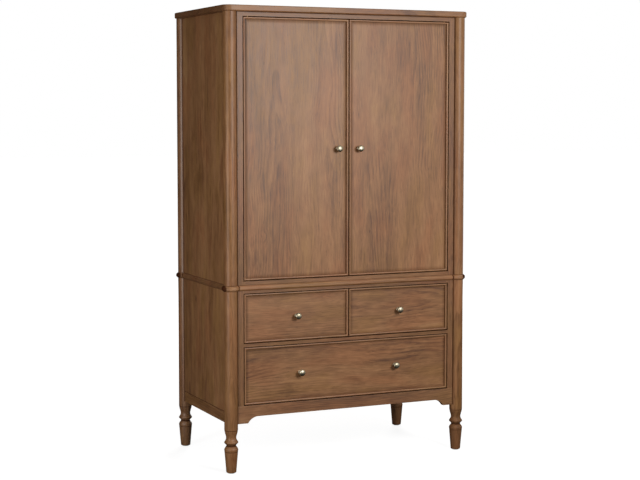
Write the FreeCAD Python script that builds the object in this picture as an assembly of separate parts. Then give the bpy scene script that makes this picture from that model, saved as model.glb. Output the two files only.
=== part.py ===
import FreeCAD, Part
import os

from FreeCAD import Rotation, Vector
from math import cos, pi, radians, sin

# A two-door wardrobe on a three-drawer base with turned feet. Lengths are millimetres, +Z is up,
# -Y is the front, and the origin lies on the floor under the middle of the object.

# Overall sizes, taken over the waist band
overall_width = 1124.0
overall_depth = 631.0
overall_height = 1900.0

# Corner posts and how far the other parts stand in or out from them
post_radius = 28.0
band_projection = 8.5
slab_projection = 7.0
face_setback = 14.0
side_setback = 16.0
back_setback = 24.0
panel_seat = 18.0

# Boards
slab_thickness = 24.0
slab_corner_radius = 35.0
slab_edge_chamfer = 3.0
band_thickness = 21.0
band_edge_chamfer = 6.0
side_thickness = 18.0
back_thickness = 8.0
frame_thickness = 20.0
floor_thickness = 16.5
deck_thickness = 13.5
case_bottom_thickness = 12.0
partition_thickness = 19.0
shelf_thickness = 18.0
joint_chamfer = 2.5

# Face frame and the heights of the lower case, from the floor up
stile_width = 33.0
skirt_height = 202.0
apron_height = 73.0
apron_arch_rise = 26.0
apron_bracket_width = 52.0
apron_cove_width = 41.5
apron_cove_radius = 53.0
base_rail_height = 46.0
long_opening_height = 241.5
small_opening_height = 206.5
lower_top_rail_height = 12.5
upper_top_rail_height = 19.0

# Doors and drawer fronts
front_gap = 2.5
door_thickness = 22.0
drawer_front_thickness = 20.0
bead_width = 8.5
bead_projection = 8.0
bead_round = 3.4
bead_facets = 3

# Turned foot on a round glide. The outline runs from the floor end up, as shares of the turned
# height and of the post's radius; above it a collar of plain post shows under the skirt.
turning_sides = 20
glide_thickness = 3.0
glide_radius = 14.0
foot_collar_height = 23.0
foot_profile_shares = (
    (0, 0.68),
    (0.014, 0.735),
    (0.49, 0.99),
    (0.53, 1.02),
    (0.56, 0.99),
    (0.604, 0.82),
    (0.634, 0.71),
    (0.664, 0.82),
    (0.703, 1.02),
    (0.725, 1),
    (0.76, 0.85),
    (0.81, 0.75),
    (0.865, 0.79),
    (0.925, 0.9),
    (1, 1),
)

# Knobs: the outline runs out from the face they stand on, as shares of the length and the
# head's radius
knob_sides = 20
knob_length = 30.5
knob_head_radius = 14.0
knob_profile_shares = (
    (0, 0.58),
    (0.066, 0.58),
    (0.18, 0.42),
    (0.33, 0.4),
    (0.5, 0.66),
    (0.66, 1),
    (0.76, 1),
    (0.92, 0.74),
    (1, 0.3),
)
door_knob_inset = 47.5
door_knob_rise = 532.0
long_knob_spacing = 440.0

# Pivot hinges
pivot_inset = 20.0
pivot_setback = 8.0
collar_sides = 12
pivot_radius = 2.5
pivot_clearance = 0.05
pivot_relief = 0.8
pivot_collar_radius = 4.5
pivot_end_clearance = 0.3
pivot_tail = 1.5
hinge_leaf_length = 60.0
hinge_leaf_width = 10.0
hinge_leaf_heel = 8.0
hinge_leaf_thickness = 2.5

# Magnetic catches at the top of the doors
catch_width = 36.0
catch_depth = 14.0
catch_engagement = 16.0
catch_inset = 62.0
strike_width = 30.0
strike_height = 12.0
strike_thickness = 1.5
strike_margin = 2.0
catch_gap = 0.3

# Drawer boxes
box_length = 510.0
box_wall = 12.0
box_bottom_thickness = 6.0
box_bottom_rise = 8.0
box_groove_depth = 6.0
box_housing_depth = 4.0
box_back_margin = 10.0
box_back_drop = 6.0
box_floor_clearance = 15.0
small_box_height = 155.0
long_box_height = 190.0
tail_pitch = 46.0
tail_root_width = 28.0
tail_flare = 3.0

# Telescopic runners
runner_thickness = 12.7
runner_height = 45.0
runner_length = 500.0
runner_setback = 3.0
runner_metal = 1.2
runner_play = 0.4
runner_rise = 62.0
cleat_height = 62.0
partition_clearance = 1.0

# Hat shelf and hanging rail
shelf_drop = 176.0
shelf_front_setback = 42.0
shelf_end_clearance = 0.5
batten_height = 30.0
batten_thickness = 16.0
batten_setback = 20.0
rail_sides = 16
rail_radius = 12.5
rail_wall = 1.5
rail_drop = 62.0
socket_radius = 22.0
socket_depth = 12.0
socket_floor = 3.0
socket_clearance = 0.2

# Overrun of every cut past the face it leaves
overrun = 5.0

# Places worked out from the sizes above
half_width = overall_width / 2
half_depth = overall_depth / 2
post_x = half_width - band_projection - post_radius
post_y = half_depth - band_projection - post_radius
face_y = -(post_y + post_radius - face_setback)
frame_back_y = face_y + frame_thickness
side_x = post_x + post_radius - side_setback
side_inner_x = side_x - side_thickness
back_y = post_y + post_radius - back_setback
back_inner_y = back_y - back_thickness
opening_x = post_x - panel_seat - stile_width
panel_y = face_y + bead_projection

apron_top = skirt_height + apron_height
deck_bottom = apron_top + long_opening_height
deck_top = deck_bottom + deck_thickness
small_opening_top = deck_top + small_opening_height
band_bottom = small_opening_top + lower_top_rail_height
band_top = band_bottom + band_thickness
floor_top = band_top + floor_thickness
slab_bottom = overall_height - slab_thickness
door_opening_top = slab_bottom - upper_top_rail_height
shelf_top = slab_bottom - shelf_drop
shelf_bottom = shelf_top - shelf_thickness
rail_z = shelf_bottom - rail_drop
base_rail_top = skirt_height + base_rail_height

front_outer_x = opening_x - front_gap
front_inner_x = front_gap / 2
pivot_x = front_outer_x - pivot_inset
pivot_y = face_y + pivot_setback
door_bottom = floor_top + front_gap
door_top = door_opening_top - front_gap
knob_z = door_bottom + door_knob_rise

SIDES = ((-1, "left"), (1, "right"))
ENDS = ((-1, "front"), (1, "rear"))


def block(x0, x1, y0, y1, z0, z1):
    """A rectangular board between two opposite corners, given in any order."""
    low = Vector(min(x0, x1), min(y0, y1), min(z0, z1))
    return Part.makeBox(abs(x1 - x0), abs(y1 - y0), abs(z1 - z0), low)


def prism(corners, along):
    """A straight-sided solid: the flat outline through the corners, pushed along a vector."""
    outline = Part.makePolygon(corners + corners[:1])
    return Part.Face(outline).extrude(along)


def turned(stations, foot, axis, sides):
    """A turned solid in flat facets, through stations that are each a radius and a way along."""
    across = Vector(axis.y, axis.z, axis.x)
    rings = []
    for radius, way in stations:
        ring = []
        for i in range(sides):
            spoke = Rotation(axis, 360 * (i + 1 / 2) / sides).multVec(across)
            ring.append(foot + axis * way + spoke * radius)
        rings.append(ring)
    outlines = [rings[0], rings[-1]]
    for low, high in zip(rings, rings[1:]):
        for i in range(sides):
            j = (i + 1) % sides
            outlines.append([low[i], low[j], high[j], high[i]])
    faces = [Part.Face(Part.makePolygon(corners + corners[:1])) for corners in outlines]
    return Part.Solid(Part.Shell(faces))


def faceted_rod(foot, axis, radius, length, sides):
    """A straight bar with flat facets, whose corners lie at the radius."""
    return turned([(radius, 0), (radius, length)], foot, axis, sides)


def across_flats(radius, sides):
    """The corner radius of a bar or bore whose flats lie at the radius."""
    return radius / cos(pi / sides)


def rod(x, y, z, axis, radius, length):
    """A round bar that starts at a point and runs along an axis."""
    return Part.makeCylinder(radius, length, Vector(x, y, z), axis)


def edges_along(shape, direction):
    """The straight edges of a shape that run along a direction."""
    found = []
    for edge in shape.Edges:
        run = edge.Vertexes[-1].Point - edge.Vertexes[0].Point
        if run.Length > 0 and abs(abs(run.dot(direction)) - run.Length) < run.Length / 1e6:
            found.append(edge)
    return found


def edges_at_height(shape, height):
    """The edges of a shape that lie flat at one height."""
    found = []
    for edge in shape.Edges:
        box = edge.BoundBox
        if abs(box.ZMin - height) < overrun / 1e3 and abs(box.ZMax - height) < overrun / 1e3:
            found.append(edge)
    return found


def save(name, solids):
    """Writes one sub-part, which may hold several separate solids."""
    shape = solids[0] if len(solids) == 1 else Part.makeCompound(solids)
    shape.exportStep("parts/" + name + ".step")


def post_columns(z0, z1):
    """The four round corner columns between two heights, as one tool for notching boards."""
    columns = []
    for x in (-post_x, post_x):
        for y in (-post_y, post_y):
            columns.append(rod(x, y, z0, Vector(0, 0, 1), post_radius, z1 - z0))
    return columns


def notched(board):
    """A board inside the case, cut round the corner posts that reach into it."""
    box = board.BoundBox
    for column in post_columns(box.ZMin - overrun, box.ZMax + overrun):
        board = board.cut(column)
    return board


# Case panels and frames

def side_panel(side, z0, z1):
    """A side panel, housed in the front and rear posts."""
    reach = post_y - panel_seat
    return block(side * side_x, side * side_inner_x, -reach, reach, z0, z1)


def back_panel(z0, z1):
    """A back panel, housed in the two rear posts."""
    reach = post_x - panel_seat
    return block(-reach, reach, back_inner_y, back_y, z0, z1)


def stile(side, z0, z1):
    """A face-frame upright with a small chamfer where it meets the round post."""
    outer = side * (post_x - panel_seat)
    board = block(side * opening_x, outer, face_y, frame_back_y, z0, z1)
    meeting = side * (opening_x + stile_width - visible_seat())
    corners = [
        Vector(meeting, face_y, z0),
        Vector(outer, face_y, z0),
        Vector(outer, face_y + joint_chamfer, z0),
        Vector(meeting + side * joint_chamfer, face_y + joint_chamfer, z0),
    ]
    return board.cut(prism(corners, Vector(0, 0, z1 - z0)))


def visible_seat():
    """How much of a stile's width the round post hides, and the chamfer beside it."""
    reach = (post_radius**2 - (post_radius - face_setback) ** 2) ** 0.5
    return reach - panel_seat + joint_chamfer


def upper_face_frame():
    """Two stiles with the top and bottom rails between them."""
    solids = [stile(side, band_top, slab_bottom) for side, _ in SIDES]
    top_rail = block(-opening_x, opening_x, face_y, frame_back_y, door_opening_top, slab_bottom)
    bottom_rail = block(-opening_x, opening_x, face_y, frame_back_y, band_top, floor_top)
    for pocket in hinge_pockets():
        top_rail = top_rail.cut(pocket)
        bottom_rail = bottom_rail.cut(pocket)
    return solids + [top_rail, bottom_rail]


def lower_face_frame():
    """Two stiles with the rail over the small drawers and the rail between the drawer rows."""
    solids = [stile(side, apron_top, band_bottom) for side, _ in SIDES]
    heights = ((small_opening_top, band_bottom), (deck_bottom, deck_top))
    for z0, z1 in heights:
        solids.append(block(-opening_x, opening_x, face_y, frame_back_y, z0, z1))
    return solids


def apron():
    """The front rail at the foot of the case, with a coved bracket at each end."""
    outer = post_x - panel_seat
    bracket_x = outer - apron_bracket_width
    arch_x = bracket_x - apron_cove_width
    arch_z = skirt_height + apron_arch_rise
    points = [
        Vector(-bracket_x, face_y, skirt_height),
        Vector(-outer, face_y, skirt_height),
        Vector(-outer, face_y, apron_top),
        Vector(outer, face_y, apron_top),
        Vector(outer, face_y, skirt_height),
        Vector(bracket_x, face_y, skirt_height),
    ]
    edges = [Part.makeLine(a, b) for a, b in zip(points, points[1:])]
    edges.append(cove_edge(1, bracket_x, arch_x, arch_z))
    edges.append(Part.makeLine(Vector(arch_x, face_y, arch_z), Vector(-arch_x, face_y, arch_z)))
    edges.append(cove_edge(-1, bracket_x, arch_x, arch_z))
    outline = Part.Wire(Part.__sortEdges__(edges))
    return Part.Face(outline).extrude(Vector(0, frame_thickness, 0))


def cove_edge(side, bracket_x, arch_x, arch_z):
    """The hollow arc from a bracket's lower corner up to the straight middle of the apron."""
    foot = Vector(side * bracket_x, face_y, skirt_height)
    head = Vector(side * arch_x, face_y, arch_z)
    half_chord = (head - foot).Length / 2
    sagitta = apron_cove_radius - (apron_cove_radius**2 - half_chord**2) ** 0.5
    outward = Vector(side * (head.z - foot.z), 0, abs(head.x - foot.x)).normalize()
    return Part.Arc(foot, (foot + head) / 2 + outward * sagitta, head).toShape()


def base_rails():
    """The rails along the foot of both sides and of the back."""
    reach = post_y - panel_seat
    solids = []
    for side, _ in SIDES:
        rail = block(side * side_x, side * side_inner_x, -reach, reach, skirt_height, base_rail_top)
        solids.append(chamfered_top(rail, side))
    reach = post_x - panel_seat
    solids.append(block(-reach, reach, back_inner_y, back_y, skirt_height, base_rail_top))
    return solids


def chamfered_top(rail, side):
    """Breaks the upper outside edge of a side rail, which draws the line under the panel."""
    box = rail.BoundBox
    corners = [
        Vector(side * side_x, box.YMin, base_rail_top),
        Vector(side * (side_x - joint_chamfer), box.YMin, base_rail_top),
        Vector(side * side_x, box.YMin, base_rail_top - joint_chamfer),
    ]
    return rail.cut(prism(corners, Vector(0, box.YLength, 0)))


def top_slab():
    """The top board, with round corners and broken edges."""
    x = post_x + post_radius + slab_projection
    y = post_y + post_radius + slab_projection
    board = block(-x, x, -y, y, slab_bottom, overall_height)
    board = board.makeFillet(slab_corner_radius, edges_along(board, Vector(0, 0, 1)))
    return nosed(board, slab_edge_chamfer)


def nosed(board, chamfer):
    """A flat board whose upper and lower rims are both chamfered."""
    box = board.BoundBox
    rims = edges_at_height(board, box.ZMin) + edges_at_height(board, box.ZMax)
    return board.makeChamfer(chamfer, rims)


def waist_band():
    """The board between the cases, with a nose that follows the faces and rings each post."""
    x = side_x + band_projection
    y = -face_y + band_projection
    board = nosed(block(-x, x, -y, y, band_bottom, band_top), band_edge_chamfer)
    for px in (-post_x, post_x):
        for py in (-post_y, post_y):
            ring = rod(px, py, band_bottom, Vector(0, 0, 1), post_radius + band_projection, band_thickness)
            board = board.fuse(nosed(ring, band_edge_chamfer))
    return board.removeSplitter()


def inner_board(z0, z1):
    """A board that fills the case between the side panels, the face frame and the back."""
    return notched(block(-side_inner_x, side_inner_x, frame_back_y, back_inner_y, z0, z1))


def centre_partition():
    """The upright board between the small drawers."""
    x = partition_thickness / 2
    front = face_y + drawer_front_thickness + partition_clearance
    return block(-x, x, front, back_inner_y, deck_top, band_bottom)


def runner_cleats():
    """Filler strips that bring the runners in from the side panels to the edge of the opening."""
    solids = []
    for side, _ in SIDES:
        for box_z in (deck_top + box_floor_clearance, apron_top + box_floor_clearance):
            z0 = box_z + runner_rise - cleat_height / 2
            strip = block(
                side * opening_x, side * side_inner_x,
                frame_back_y, back_inner_y,
                z0, z0 + cleat_height,
            )
            solids.append(notched(strip))
    return solids


# Posts and turned legs

def housed(post, foot_z):
    """A post cut away where the panels, stiles and rails are let into it, from a height up."""
    box = post.BoundBox
    z1 = box.ZMax + overrun
    tools = [side_panel(side, foot_z, z1) for side, _ in SIDES]
    tools.append(back_panel(foot_z, z1))
    for side, _ in SIDES:
        seat_x = side * (post_x - panel_seat)
        tools.append(block(side * opening_x, seat_x, face_y, frame_back_y, foot_z, z1))
    for tool in tools:
        if tool.BoundBox.intersect(box):
            post = post.cut(tool)
    return post


def upper_post(x, y):
    """A plain round post of the upper case."""
    column = rod(x, y, band_top, Vector(0, 0, 1), post_radius, slab_bottom - band_top)
    return housed(column, band_top - overrun)


def leg(x, y):
    """A round post of the lower case, turned below the skirt into a foot."""
    turned_height = skirt_height - foot_collar_height - glide_thickness
    stations = [(post_radius * r, turned_height * h) for h, r in foot_profile_shares]
    foot = turned(stations, Vector(x, y, glide_thickness), Vector(0, 0, 1), turning_sides)
    column_foot = skirt_height - foot_collar_height
    column = rod(x, y, column_foot, Vector(0, 0, 1), post_radius, band_bottom - column_foot)
    return foot.fuse(housed(column, skirt_height)).removeSplitter()


def foot_glides():
    """A round glide under each foot."""
    discs = []
    for x in (-post_x, post_x):
        for y in (-post_y, post_y):
            discs.append(faceted_rod(
                Vector(x, y, 0), Vector(0, 0, 1), glide_radius, glide_thickness, turning_sides,
            ))
    return discs


# Doors and drawer fronts

def bead_outline(thickness):
    """The section of a bead with a rounded nose: pairs of the way across and the way back."""
    nose = []
    for i in range(bead_facets + 1):
        angle = radians(90 * i / bead_facets)
        nose.append((bead_round * (1 - cos(angle)), bead_round * (1 - sin(angle))))
    mirrored = [(bead_width - across, back) for across, back in reversed(nose)]
    return [(0, thickness)] + nose + mirrored + [(bead_width, thickness)]


def bead_frame(x0, x1, z0, z1, thickness):
    """Four mitred beads round the edge of a door or drawer front."""
    inner = [Vector(x, face_y, z) for x, z in (
        (x0 + bead_width, z0 + bead_width), (x1 - bead_width, z0 + bead_width),
        (x1 - bead_width, z1 - bead_width), (x0 + bead_width, z1 - bead_width),
    )]
    outer = [Vector(x, face_y, z) for x, z in ((x0, z0), (x1, z0), (x1, z1), (x0, z1))]
    sticks = []
    for i in range(4):
        j = (i + 1) % 4
        run = outer[j] - outer[i]
        inward = Vector(run).normalize().cross(Vector(0, 1, 0))
        corners = []
        for across, back in bead_outline(thickness):
            corners.append(outer[i] + inward * across + Vector(0, back, 0))
        mitre = prism([outer[i], outer[j], inner[j], inner[i]], Vector(0, thickness, 0))
        sticks.append(prism(corners, run).common(mitre))
    return sticks


def front_panel(x0, x1, z0, z1, thickness):
    """The flat panel inside a bead frame."""
    return block(
        x0 + bead_width, x1 - bead_width,
        panel_y, face_y + thickness,
        z0 + bead_width, z1 - bead_width,
    )


def knob(x, z):
    """A turned knob that stands on the face of a panel, with a narrow neck and a domed head."""
    stations = [(knob_head_radius * r, knob_length * h) for h, r in knob_profile_shares]
    return turned(stations, Vector(x, panel_y, z), Vector(0, -1, 0), knob_sides)


# Pivot hinges

def hinge_sites():
    """Each hinge: its side, the frame surface it is let into and the way from there to the door."""
    sites = []
    for side, _ in SIDES:
        sites.append((side, floor_top, 1))
        sites.append((side, door_opening_top, -1))
    return sites


def hinge_leaf(side, z, up):
    """The blank of a hinge leaf: its heel is on the stile's side of the pivot."""
    heel = side * (pivot_x + hinge_leaf_heel)
    toe = side * (pivot_x + hinge_leaf_heel - hinge_leaf_length)
    half = hinge_leaf_width / 2
    return block(heel, toe, pivot_y - half, pivot_y + half, z, z + up * hinge_leaf_thickness)


def hinge_pockets():
    """The pockets in the rails that take the frame plates."""
    return [hinge_leaf(side, z, -up) for side, z, up in hinge_sites()]


def frame_hinge_plates():
    """The frame plates, each with a collar and a pivot pin."""
    solids = []
    for side, z, up in hinge_sites():
        plate = hinge_leaf(side, z, -up)
        axis = Vector(0, 0, up)
        start = z - up * hinge_leaf_thickness / 2
        root = hinge_leaf_thickness / 2
        collar_height = front_gap - pivot_end_clearance
        pin_length = front_gap + hinge_leaf_thickness + pivot_tail
        foot = Vector(side * pivot_x, pivot_y, start)
        collar = faceted_rod(foot, axis, pivot_collar_radius, root + collar_height, collar_sides)
        pin = rod(side * pivot_x, pivot_y, start, axis, pivot_radius, root + pin_length)
        solids.append(plate.fuse(collar).fuse(pin).removeSplitter())
    return solids


def door_leaf_sites(side):
    """The two leaves of one door: the door edge each is let into and the way into the door."""
    return [(z + up * front_gap, up) for s, z, up in hinge_sites() if s == side]


def door_fittings(side):
    """The leaves with their pivot holes, and the strike plate on the back of the door."""
    solids = []
    for z, up in door_leaf_sites(side):
        leaf = hinge_leaf(side, z, up)
        hole = rod(
            side * pivot_x, pivot_y, z - up * overrun,
            Vector(0, 0, up), pivot_radius + pivot_clearance, overrun * 2,
        )
        solids.append(leaf.cut(hole))
    back = face_y + door_thickness
    x = side * catch_inset
    top = door_top - strike_margin
    solids.append(block(
        x - strike_width / 2, x + strike_width / 2,
        back, back + strike_thickness,
        top - strike_height, top,
    ))
    return solids


def let_in_leaves(solids, side):
    """Cuts the leaf pockets and the clearance for the pin ends into the pieces of one door."""
    tools = []
    for z, up in door_leaf_sites(side):
        tools.append(hinge_leaf(side, z, up))
        depth = hinge_leaf_thickness + pivot_tail + pivot_end_clearance
        foot = Vector(side * pivot_x, pivot_y, z)
        tools.append(faceted_rod(foot, Vector(0, 0, up), pivot_radius + pivot_relief, depth, collar_sides))
    result = []
    for solid in solids:
        for tool in tools:
            solid = solid.cut(tool)
        result.append(solid)
    return result


def door_catches():
    """Magnetic catches that hang from the top slab behind the door tops."""
    front = face_y + door_thickness + strike_thickness + catch_gap
    solids = []
    for side, _ in SIDES:
        x = side * catch_inset
        solids.append(block(
            x - catch_width / 2, x + catch_width / 2,
            front, front + catch_depth,
            door_opening_top - catch_engagement, slab_bottom,
        ))
    return solids


# Drawer boxes and runners

def tail_shapes(x0, x1, joint_y, z0, z1):
    """The dovetails at the front of one side board, through the thickness of the inner front."""
    count = max(2, int((z1 - z0) / tail_pitch))
    pitch = (z1 - z0) / count
    half = tail_root_width / 2
    tip_y = joint_y - box_wall
    tails = []
    for i in range(count):
        z = z0 + (i + 1 / 2) * pitch
        corners = [
            Vector(x0, joint_y, z - half),
            Vector(x0, tip_y, z - half - tail_flare),
            Vector(x0, tip_y, z + half + tail_flare),
            Vector(x0, joint_y, z + half),
        ]
        tails.append(prism(corners, Vector(x1 - x0, 0, 0)))
    return tails


def drawer_box(x0, x1, z0, height):
    """Two sides dovetailed to an inner front, a back housed between them and a bottom in grooves."""
    y0 = face_y + drawer_front_thickness
    y1 = y0 + box_length
    z1 = z0 + height
    joint_y = y0 + box_wall
    back_end = y1 - box_back_margin
    groove = box_wall - box_groove_depth
    bottom_top = z0 + box_bottom_rise + box_bottom_thickness
    bottom = block(x0 + groove, x1 - groove, y0 + groove, back_end, z0 + box_bottom_rise, bottom_top)
    housing = box_wall - box_housing_depth
    back = block(x0 + housing, x1 - housing, back_end - box_wall, back_end, bottom_top, z1 - box_back_drop)
    front = block(x0, x1, y0, joint_y, z0, z1)
    boards = []
    for outer, inner in ((x0, x0 + box_wall), (x1, x1 - box_wall)):
        tails = tail_shapes(outer, inner, joint_y, z0, z1)
        board = block(outer, inner, joint_y, y1, z0, z1).fuse(tails).removeSplitter()
        front = front.cut(tails)
        boards.append(board.cut(back).cut(bottom))
    return boards + [front.cut(bottom), back, bottom]


def channel(mount_x, inward, web, lip, height, y0, z):
    """A runner member: a channel whose web and lips are given as distances from the mounting face."""
    step = runner_metal if lip > web else -runner_metal
    half = height / 2
    outline = [
        (web, -half), (lip, -half), (lip, -half + runner_metal), (web + step, -half + runner_metal),
        (web + step, half - runner_metal), (lip, half - runner_metal), (lip, half), (web, half),
    ]
    corners = [Vector(mount_x + inward * u, y0, z + v) for u, v in outline]
    return prism(corners, Vector(0, runner_length, 0))


def runner(mount_x, inward, z):
    """The fixed, middle and drawer members of one runner, nested with a little play."""
    y0 = frame_back_y + runner_setback
    nest = runner_metal + runner_play
    fixed = channel(mount_x, inward, 0, runner_thickness - nest * 2, runner_height, y0, z)
    middle = channel(mount_x, inward, nest, runner_thickness - nest, runner_height - nest * 2, y0, z)
    moving = channel(mount_x, inward, runner_thickness, nest * 2, runner_height - nest * 4, y0, z)
    return fixed, middle, moving


def drawer_layout():
    """Each drawer: its name, the front's extent, the runner faces, the box height and the knobs."""
    half_wall = partition_thickness / 2
    small_z0 = deck_top + front_gap
    small_z1 = small_opening_top - front_gap
    small_x = (front_outer_x + front_inner_x) / 2
    small_z = (small_z0 + small_z1) / 2
    long_z0 = apron_top + front_gap
    long_z1 = deck_bottom - front_gap
    long_x = long_knob_spacing / 2
    long_z = (long_z0 + long_z1) / 2
    return [
        ("left_drawer", (-front_outer_x, -front_inner_x, small_z0, small_z1),
         (-opening_x, -half_wall), deck_top, small_box_height, [(-small_x, small_z)]),
        ("right_drawer", (front_inner_x, front_outer_x, small_z0, small_z1),
         (half_wall, opening_x), deck_top, small_box_height, [(small_x, small_z)]),
        ("long_drawer", (-front_outer_x, front_outer_x, long_z0, long_z1),
         (-opening_x, opening_x), apron_top, long_box_height, [(-long_x, long_z), (long_x, long_z)]),
    ]


# Hat shelf and hanging rail

def shelf_battens():
    """A batten on each side panel, which carries one end of the hat shelf."""
    solids = []
    for side, _ in SIDES:
        solids.append(block(
            side * side_inner_x, side * (side_inner_x - batten_thickness),
            shelf_front_y() + batten_setback, post_y - post_radius,
            shelf_bottom - batten_height, shelf_bottom,
        ))
    return solids


def shelf_front_y():
    """Where the shelf's front edge stands, clear of the doors' swing."""
    return face_y + shelf_front_setback


def shelf_back_y():
    """Where the shelf ends in front of the back panel."""
    return back_inner_y - shelf_end_clearance


def hat_shelf():
    """The shelf over the hanging rail, notched round the rear posts."""
    x = side_inner_x - shelf_end_clearance
    return notched(block(-x, x, shelf_front_y(), shelf_back_y(), shelf_bottom, shelf_top))


def rail_axis():
    """The depth of the hanging rail, in the middle under the shelf."""
    return (shelf_front_y() + shelf_back_y()) / 2


def hanging_rail():
    """A tube between the floors of the two end sockets."""
    reach = side_inner_x - socket_floor
    foot = Vector(-reach, rail_axis(), rail_z)
    outer = faceted_rod(foot, Vector(1, 0, 0), rail_radius, reach * 2, rail_sides)
    return outer.cut(faceted_rod(foot, Vector(1, 0, 0), rail_radius - rail_wall, reach * 2, rail_sides))


def rail_sockets():
    """Round cups on the side panels, which hold the ends of the hanging rail."""
    solids = []
    bore_radius = across_flats(rail_radius + socket_clearance, rail_sides)
    for side, _ in SIDES:
        axis = Vector(-side, 0, 0)
        foot = Vector(side * side_inner_x, rail_axis(), rail_z)
        cup = faceted_rod(foot, axis, socket_radius, socket_depth, rail_sides)
        bore = faceted_rod(foot + axis * socket_floor, axis, bore_radius, socket_depth, rail_sides)
        solids.append(cup.cut(bore))
    return solids


def build_case():
    """Everything that stands still."""
    save("top_slab", [top_slab()])
    save("waist_band", [waist_band()])
    for sx, side in SIDES:
        for sy, end in ENDS:
            save("upper_post_" + end + "_" + side, [upper_post(sx * post_x, sy * post_y)])
            save("leg_" + end + "_" + side, [leg(sx * post_x, sy * post_y)])
        save("upper_side_" + side, [side_panel(sx, band_top, slab_bottom)])
        save("lower_side_" + side, [side_panel(sx, base_rail_top, band_bottom)])
    save("upper_face_frame", upper_face_frame())
    save("lower_face_frame", lower_face_frame())
    save("apron", [apron()])
    save("base_rails", base_rails())
    save("upper_back", [back_panel(band_top, slab_bottom)])
    save("lower_back", [back_panel(base_rail_top, band_bottom)])
    save("upper_floor", [inner_board(band_top, floor_top)])
    save("drawer_deck", [inner_board(deck_bottom, deck_top)])
    save("case_bottom", [inner_board(apron_top - case_bottom_thickness, apron_top)])
    save("centre_partition", [centre_partition()])
    save("runner_cleats", runner_cleats())
    save("hat_shelf", [hat_shelf()])
    save("shelf_battens", shelf_battens())
    save("hanging_rail", [hanging_rail()])
    save("rail_sockets", rail_sockets())
    save("door_catches", door_catches())
    save("frame_hinge_plates", frame_hinge_plates())
    save("foot_glides", foot_glides())


def build_doors():
    """Both doors, each with its bead frame, knob and fittings."""
    for side, name in SIDES:
        x0, x1 = sorted((side * front_inner_x, side * front_outer_x))
        panel = front_panel(x0, x1, door_bottom, door_top, door_thickness)
        beads = bead_frame(x0, x1, door_bottom, door_top, door_thickness)
        save(name + "_door_panel", [panel])
        save(name + "_door_bead", let_in_leaves(beads, side))
        save(name + "_door_knob", [knob(side * (front_inner_x + door_knob_inset), knob_z)])
        save(name + "_door_fittings", door_fittings(side))


def build_drawers():
    """The three drawers with their runners."""
    all_fixed = []
    for name, front, faces, sill, height, knobs in drawer_layout():
        x0, x1, z0, z1 = front
        save(name + "_front", [front_panel(x0, x1, z0, z1, drawer_front_thickness)])
        save(name + "_bead", bead_frame(x0, x1, z0, z1, drawer_front_thickness))
        box_z = sill + box_floor_clearance
        boards = drawer_box(faces[0] + runner_thickness, faces[1] - runner_thickness, box_z, height)
        save(name + "_box", boards)
        save(name + "_knob" + "s" * (len(knobs) > 1), [knob(x, z) for x, z in knobs])
        pair = [runner(faces[0], 1, box_z + runner_rise), runner(faces[1], -1, box_z + runner_rise)]
        all_fixed += [members[0] for members in pair]
        save(name + "_middle_runners", [members[1] for members in pair])
        save(name + "_runners", [members[2] for members in pair])
    save("fixed_runners", all_fixed)


os.makedirs("parts", exist_ok=True)
build_case()
build_doors()
build_drawers()
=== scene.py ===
from math import cos, pi, radians, sin

import bmesh
import bpy
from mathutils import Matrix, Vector


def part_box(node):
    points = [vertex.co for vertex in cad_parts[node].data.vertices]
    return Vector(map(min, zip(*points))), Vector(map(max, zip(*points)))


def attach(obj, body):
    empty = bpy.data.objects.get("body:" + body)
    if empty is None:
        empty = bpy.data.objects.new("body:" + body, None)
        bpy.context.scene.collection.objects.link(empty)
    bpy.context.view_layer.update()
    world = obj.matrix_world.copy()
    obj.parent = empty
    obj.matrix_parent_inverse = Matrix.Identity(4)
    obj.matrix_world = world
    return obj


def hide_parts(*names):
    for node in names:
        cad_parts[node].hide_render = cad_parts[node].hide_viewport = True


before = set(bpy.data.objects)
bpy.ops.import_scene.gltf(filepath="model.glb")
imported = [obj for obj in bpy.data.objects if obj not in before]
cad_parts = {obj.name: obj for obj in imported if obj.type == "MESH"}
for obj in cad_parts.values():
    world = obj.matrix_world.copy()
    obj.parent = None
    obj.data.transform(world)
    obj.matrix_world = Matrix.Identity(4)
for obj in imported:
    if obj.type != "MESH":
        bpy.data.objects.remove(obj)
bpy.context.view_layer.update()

# A wardrobe in brown-stained wood. Lengths are in metres, and its front looks towards -Y.

# Sizes of the cabinet that the frame doesn't give
POST_RADIUS = 0.028
BAND_PROJECTION = 0.0085
FRONT_GAP = 0.0025
BATTEN_THICKNESS = 0.016
BOX_WALL = 0.012

# Places on the cabinet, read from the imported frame
post_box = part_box("upper_post_front_right")
post_x = post_box[1].x - POST_RADIUS
post_y = -post_box[0].y - POST_RADIUS
band_bottom, band_top = (corner.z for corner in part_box("waist_band"))
slab_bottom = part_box("top_slab")[0].z
skirt_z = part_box("apron")[0].z
base_rail_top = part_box("base_rails")[1].z
face_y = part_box("upper_face_frame")[0].y
opening_x = FRONT_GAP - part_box("left_door_panel")[0].x
side_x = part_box("upper_side_right")[1].x


def meeting(centre, radius, offset):
    """The coordinate, inwards of a post's centre, where its round meets a face at an offset."""
    return centre - (radius**2 - offset**2) ** 0.5


# Where the flat faces meet the round posts, and where the band's nose turns round them
nose_radius = POST_RADIUS + BAND_PROJECTION
quirk_x = meeting(post_x, POST_RADIUS, post_y + face_y)
quirk_y = meeting(post_y, POST_RADIUS, side_x - post_x)
notch_x = meeting(post_x, nose_radius, post_y + face_y - BAND_PROJECTION)
notch_y = meeting(post_y, nose_radius, side_x + BAND_PROJECTION - post_x)

SIDES = ((-1, "left"), (1, "right"))
ENDS = ((-1, "front"), (1, "rear"))
UP = Vector((0, 0, 1))
FORWARD = Vector((0, -1, 0))
BACKWARD = Vector((0, 1, 0))


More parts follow.
